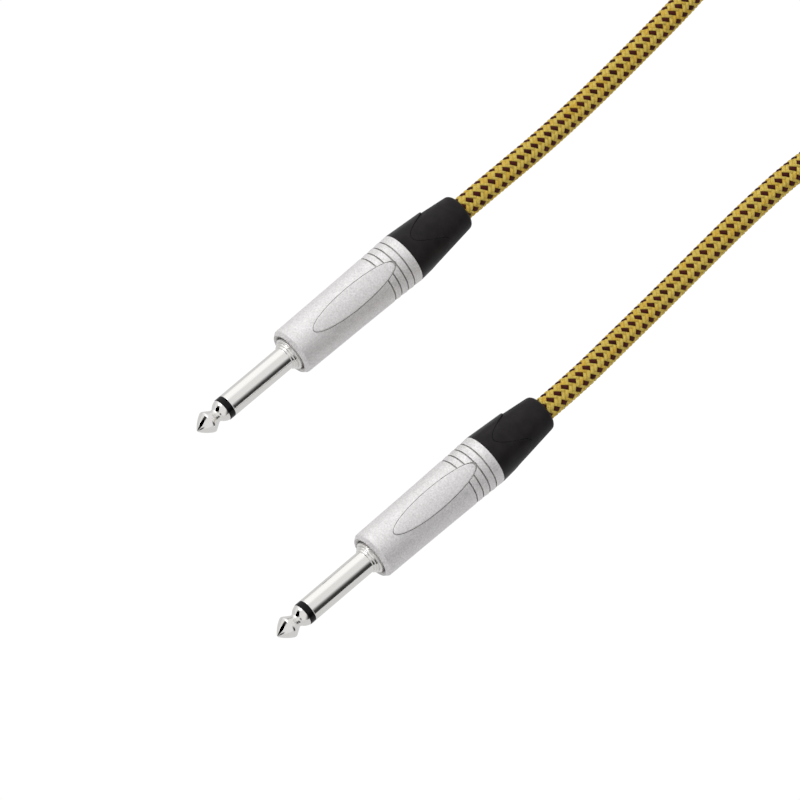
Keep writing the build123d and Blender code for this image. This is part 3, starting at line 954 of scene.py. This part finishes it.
class Braid:
    """A tube of two over, two under braid, in stretches that are each closed at their ends.

    A point's roll grows with p + q and its distance with p - q. Strands that wind right-handed keep the
    whole part of q, and the others the whole part of p. detail is how many faces cross a strand."""

    def __init__(self, way):
        self.way = way
        self.vertices, self.places, self.faces = [], [], []
        self.brown, self.tone, self.strand_uv = [], [], []
        self.count = 0

    def stretch(self, first, last, detail):
        """The braid from one pick to another, counted from plug_a's boot."""
        per_ring = CARRIERS * detail // 2
        ring = np.arange(first * detail, last * detail + 1)
        column = np.arange(per_ring)
        odd = (ring % 2)[:, None]
        turn = odd + 2 * column[None]
        ahead = np.broadcast_to(ring[:, None], turn.shape)
        p, q = (turn + ahead) // 2, (turn - ahead) // 2
        radius = BRAID_LOW_R + (BRAID_HIGH_R - BRAID_LOW_R) * float_height(p / detail, q / detail)
        spread = -BROWN_SPREAD * np.cos(math.pi * q / detail)
        roll = (turn / detail + spread) * (TAU / CARRIERS) + math.radians(BRAID_ROLL)
        centre, up, side = self.way.frames(ring * PICK / detail)
        out = np.cos(roll)[..., None] * up[:, None] + np.sin(roll)[..., None] * side[:, None]
        back = (spread * PICK)[..., None] * np.cross(up, side)[:, None]
        points = (centre[:, None] + radius[..., None] * out - back).reshape(-1, 3)

        lower = self.count + np.arange(len(ring))[:, None] * per_ring
        right = (column[None] + odd) % per_ring
        left = (column[None] + odd - 1) % per_ring
        here = lower + column
        middle = lower[1:-1]
        quads = np.stack((here[:-2], middle + right[:-2], here[2:], middle + left[:-2]), axis=-1)
        self.faces += quads.reshape(-1, 4).tolist()
        self.vertices.append(points)
        self.places.append(np.stack((turn, ahead, np.full(turn.shape, detail)), axis=-1).reshape(-1, 3))
        self.finish_strands(p[:-2].ravel(), q[:-2].ravel() - 1, detail)
        self.count += len(points)
        following = (column + 1) % per_ring
        self.cap(centre[0], lower[1] + right[0], lower[0] + column, lower[0] + following)
        self.cap(centre[-1], lower[-1] + column, lower[-2] + right[-1], lower[-1] + following)

    def finish_strands(self, low_p, low_q, detail):
        """Colour, tone and the shader's coordinates for the faces whose lowest corners are these."""
        cell_p, cell_q = low_p // detail, low_q // detail
        kind = (cell_p + cell_q) % 4
        right_handed = kind < 2
        strand = np.where(right_handed, cell_q, cell_p)
        chance = scatter(strand + 31.0 * right_handed, (cell_p + cell_q) // 4)
        p, q = low_p / detail - cell_p, low_q / detail - cell_q
        step = 1 / detail
        corner_p = np.stack((p, p + step, p + step, p), axis=-1)
        corner_q = np.stack((q + step, q + step, q, q), axis=-1)
        second = (kind % 2)[:, None]
        along = np.where(right_handed[:, None], corner_p, corner_q) + second
        across = np.where(right_handed[:, None], corner_q, corner_p) + 4 * np.round(9 * chance)[:, None]
        self.strand_uv.append(np.stack((across, along), axis=-1).reshape(-1, 2))
        self.brown.append((right_handed & (cell_q % 2 == 0)).astype(np.int32))
        self.tone.append(chance)

    def cap(self, centre, one, two, three):
        """Closes an end: one, two and three are neighbours round its zigzag edge."""
        hub = np.full(len(one), self.count)
        self.faces += np.stack((hub, one, two), axis=-1).tolist()
        self.faces += np.stack((hub, two, three), axis=-1).tolist()
        self.vertices.append(centre[None])
        self.places.append(np.array([[-1, 0, 1]]))
        self.brown.append(np.zeros(2 * len(one), np.int32))
        self.tone.append(np.full(2 * len(one), 0.3))
        self.strand_uv.append(np.zeros((6 * len(one), 2)))
        self.count += 1

    def valleys(self, mesh):
        """Which edges lie between two different strands."""
        ends = np.zeros(2 * len(mesh.edges), np.int32)
        mesh.edges.foreach_get("vertices", ends)
        places = np.concatenate(self.places)[ends].reshape(-1, 2, 3)
        swap = places[:, 0, 1] > places[:, 1, 1]
        places[swap] = places[swap][:, ::-1]
        turn, ahead, detail = places[:, 0].T
        grows = (places[:, 1, 0] - turn) % (CARRIERS * detail) == 1
        p, q = (turn + ahead) // 2, (turn - ahead) // 2
        line = np.where(grows, q, p)
        kind = np.where(grows, p // detail + q // detail, p // detail + (q - 1) // detail) % 4
        return (line % detail == 0) & (kind != np.where(grows, 3, 1)) & (places[:, :, 0].min(axis=1) >= 0)

    def made(self, name):
        mesh = bpy.data.meshes.new(name)
        mesh.from_pydata(np.concatenate(self.vertices) * MM, [], self.faces)
        mesh.shade_smooth()
        mesh.materials.append(YELLOW)
        mesh.materials.append(BROWN)
        mesh.polygons.foreach_set("material_index", np.concatenate(self.brown))
        mesh.attributes.new("tone", "FLOAT", "FACE").data.foreach_set("value", np.concatenate(self.tone))
        mesh.uv_layers.new(name="strand").data.foreach_set("uv", np.concatenate(self.strand_uv).ravel())
        mesh.attributes.new("sharp_edge", "BOOLEAN", "EDGE").data.foreach_set("value", self.valleys(mesh))
        cable = bpy.data.objects.new(name, mesh)
        bpy.context.scene.collection.objects.link(cable)
        return cable


def cable(plugs):
    """The free cable, and its two ends inside the boots."""
    line = smooth_line(ROUTE_A + hank() + ROUTE_B[::-1])
    inside = BOOT_END - BRAID_CUT
    starts = {side: np.array((plug.x, plug.tip + BRAID_CUT, plug.z)) for side, plug in plugs.items()}
    way = Way(np.concatenate((starts["a"][None], line / MM, starts["b"][None])), inside)
    length = way.at[-1] - inside
    fine = 4
    coarse = 2
    last = round(length / PICK)
    free = Braid(way)
    free.stretch(0, FINE_PICKS_A, fine)
    free.stretch(FINE_PICKS_A, last - FINE_PICKS_B, coarse)
    free.stretch(last - FINE_PICKS_B, last, fine)
    made = free.made("braided_cable")
    cord = dress(made, None, "root", "braid", "cable_run_a", "cable_run_b", "cable_coil")
    inner_ends = {"a": (math.ceil(-inside / PICK), 0), "b": (last, math.floor((length + inside) / PICK))}
    for side, (low, high) in inner_ends.items():
        end = Braid(way)
        end.stretch(low, high, fine)
        dress(end.made(f"braided_end_{side}"), None, "root", "braid", f"cable_end_{side}")
    return cord, line


# ---- the strap round the hank ----


def tie():
    """A hook-and-loop strap: once round the hank's left side, its end lapped over the top."""
    left, right = -COLUMN_R[2] - CABLE_D / 2, -COLUMN_R[0] + CABLE_D / 2
    step = -COLUMN_R[1] + CABLE_D / 2
    low = TIE_THICK
    section = rounded(
        [
            (left, low + 4 * CABLE_D, TIE_CORNER_R),
            (left, low, TIE_CORNER_R),
            (right, low, TIE_CORNER_R),
            (right, low + 2 * CABLE_D, TIE_CORNER_R),
            (step, low + 2 * CABLE_D + 5.0, 6.0),
            (step, low + 4 * CABLE_D, TIE_CORNER_R),
        ],
        8,
    )
    loop = np.array(section)
    loop = np.concatenate((loop, loop[:1]))
    at = np.concatenate(([0], np.cumsum(np.linalg.norm(np.diff(loop, axis=0), axis=1))))
    around = at[-1]
    begin = around - TIE_START
    stations = np.linspace(begin, begin + around + TIE_LAP, 150)
    centre = np.stack([np.interp(stations % around, at, loop[:, axis]) for axis in (0, 1)], axis=-1)
    ahead = np.gradient(centre, axis=0)
    ahead /= np.linalg.norm(ahead, axis=1)[:, None]
    outwards = np.stack((ahead[:, 1], -ahead[:, 0]), axis=-1)
    if np.sum(outwards * (centre - centre.mean(axis=0))) < 0:
        outwards = -outwards
    lifted = np.clip((stations - begin - around + 3.0) / 4.0, 0, 1)
    lifted = lifted * lifted * (3 - 2 * lifted)
    half, under, over = TIE_WIDTH / 2, 0.02, TIE_THICK - 0.08
    profile = rounded([(-half, under, 0.3), (half, under, 0.3), (half, over, 0.3), (-half, over, 0.3)], 3)
    middle_y = HANK_NEAR_Y + HANK_SIDE / 2 + TIE_SHIFT
    vertices = []
    for place, out, share in zip(centre, outwards, lifted):
        for along, height in profile:
            point = place + out * (height + share * LAP_LIFT)
            vertices.append((HANK_X + point[0], middle_y + along, point[1]))
    width = len(profile)
    faces = grid_faces(len(centre), width, closed_rows=False)
    faces.append(tuple(range(width))[::-1])
    faces.append(tuple(range(len(vertices) - width, len(vertices))))
    made = new_object("hank_strap", vertices, faces, 50)
    close_axis(made)
    return dress(made, STRAP, "root", "strap", "cable_tie")


# ---- build ----

plugs = {side: Plug(side) for side in ("a", "b")}
for side, plug in plugs.items():
    tip_contact(plug)
    tip_insulator(plug)
    sleeve(plug)
    shell(plug)
    boot_bushing(plug)
    boot_sleeve(plug)
    finish_inner(side)

strap = tie()
cord, cord_line = cable(plugs)


# ---- floor, light and camera ----

WHITE = 1.02  # what the camera sees behind everything
FLOOR_LIGHT = 0.72
TENT_LIGHT = 0.86
# Direction, the half angles in degrees where a patch is full and where it ends, and what it adds to the tent.
PATCHES = [
    ((0.95, 0.30, 0.02), 20, 56, -0.82),
    ((-0.33, -0.90, 0.30), 16, 22, -0.84),
    ((-0.52, -0.65, 0.55), 12, 19, -0.84),
    ((0.30, -0.92, 0.12), 8, 14, -0.84),
    ((-0.75, 0.30, 0.60), 12, 40, 0.30),
]


def floor():
    """A white sheet, lit evenly from below: white to the camera, and a little greyer to the pieces on it."""
    made_of = bpy.data.materials.new("floor_white")
    made_of.use_nodes = True
    nodes, links = made_of.node_tree.nodes, made_of.node_tree.links
    nodes.remove(nodes["Principled BSDF"])
    glow = nodes.new("ShaderNodeEmission")
    seen = nodes.new("ShaderNodeMapRange")
    links.new(nodes.new("ShaderNodeLightPath").outputs["Is Camera Ray"], seen.inputs["Value"])
    seen.inputs["To Min"].default_value = FLOOR_LIGHT
    seen.inputs["To Max"].default_value = WHITE
    links.new(seen.outputs["Result"], glow.inputs["Strength"])
    links.new(glow.outputs["Emission"], nodes["Material Output"].inputs["Surface"])
    size = 30000
    corners = [(-size, -size, 0), (size, -size, 0), (size, size, 0), (-size, size, 0)]
    made = new_object("floor", corners, [(0, 1, 2, 3)])
    made.location.z = -0.02 * MM
    made.data.materials.append(made_of)


def softbox(name, place, aim, size, power):
    lamp = bpy.data.lights.new(name, "AREA")
    lamp.shape = "RECTANGLE"
    lamp.size, lamp.size_y = size
    lamp.energy = power
    made = bpy.data.objects.new(name, lamp)
    made.location = place
    made.rotation_euler = (Vector(aim) - Vector(place)).to_track_quat("-Z", "Y").to_euler()
    bpy.context.scene.collection.objects.link(made)


def world():
    """A white tent with dark openings and one brighter side, which only the pieces see."""
    made = bpy.data.worlds.new("studio")
    made.use_nodes = True
    nodes, links = made.node_tree.nodes, made.node_tree.links
    towards = nodes.new("ShaderNodeTexCoord").outputs["Generated"]
    total = None
    for direction, full, end, change in PATCHES:
        along = nodes.new("ShaderNodeVectorMath")
        along.operation = "DOT_PRODUCT"
        links.new(towards, along.inputs[0])
        along.inputs[1].default_value = Vector(direction).normalized()
        patch = nodes.new("ShaderNodeMapRange")
        patch.interpolation_type = "SMOOTHSTEP"
        links.new(along.outputs["Value"], patch.inputs["Value"])
        patch.inputs["From Min"].default_value = math.cos(math.radians(end))
        patch.inputs["From Max"].default_value = math.cos(math.radians(full))
        patch.inputs["To Max"].default_value = change
        add = nodes.new("ShaderNodeMath")
        links.new(patch.outputs["Result"], add.inputs[0])
        if total:
            links.new(total, add.inputs[1])
        else:
            add.inputs[1].default_value = TENT_LIGHT
        total = add.outputs["Value"]
    seen = nodes.new("ShaderNodeMix")
    links.new(nodes.new("ShaderNodeLightPath").outputs["Is Camera Ray"], seen.inputs["Factor"])
    links.new(total, seen.inputs["A"])
    seen.inputs["B"].default_value = WHITE
    links.new(seen.outputs["Result"], nodes["Background"].inputs["Strength"])
    nodes["Background"].inputs["Color"].default_value = (1, 1, 1, 1)
    bpy.context.scene.world = made


def camera(target, azimuth, elevation, away, lens):
    """A camera that looks at target, in millimetres, from away metres."""
    data = bpy.data.cameras.new("camera")
    data.lens = lens
    data.sensor_width = 36
    data.clip_end = 100
    made = bpy.data.objects.new("camera", data)
    turn, rise = math.radians(azimuth), math.radians(elevation)
    back = Vector((math.sin(turn) * math.cos(rise), -math.cos(turn) * math.cos(rise), math.sin(rise)))
    made.location = Vector(target) * MM + back * away
    made.rotation_mode = "QUATERNION"
    made.rotation_quaternion = (-back).to_track_quat("-Z", "Y")
    bpy.context.scene.collection.objects.link(made)
    bpy.context.scene.camera = made


floor()
world()
softbox("key", (-0.9, -0.3, 1.3), (0, 0, 0), (0.5, 0.9), 5)
camera((0.9, 9.75, 7.3), 46.6, 63.3, 2.5, 442)
bpy.context.scene.view_settings.view_transform = "Standard"
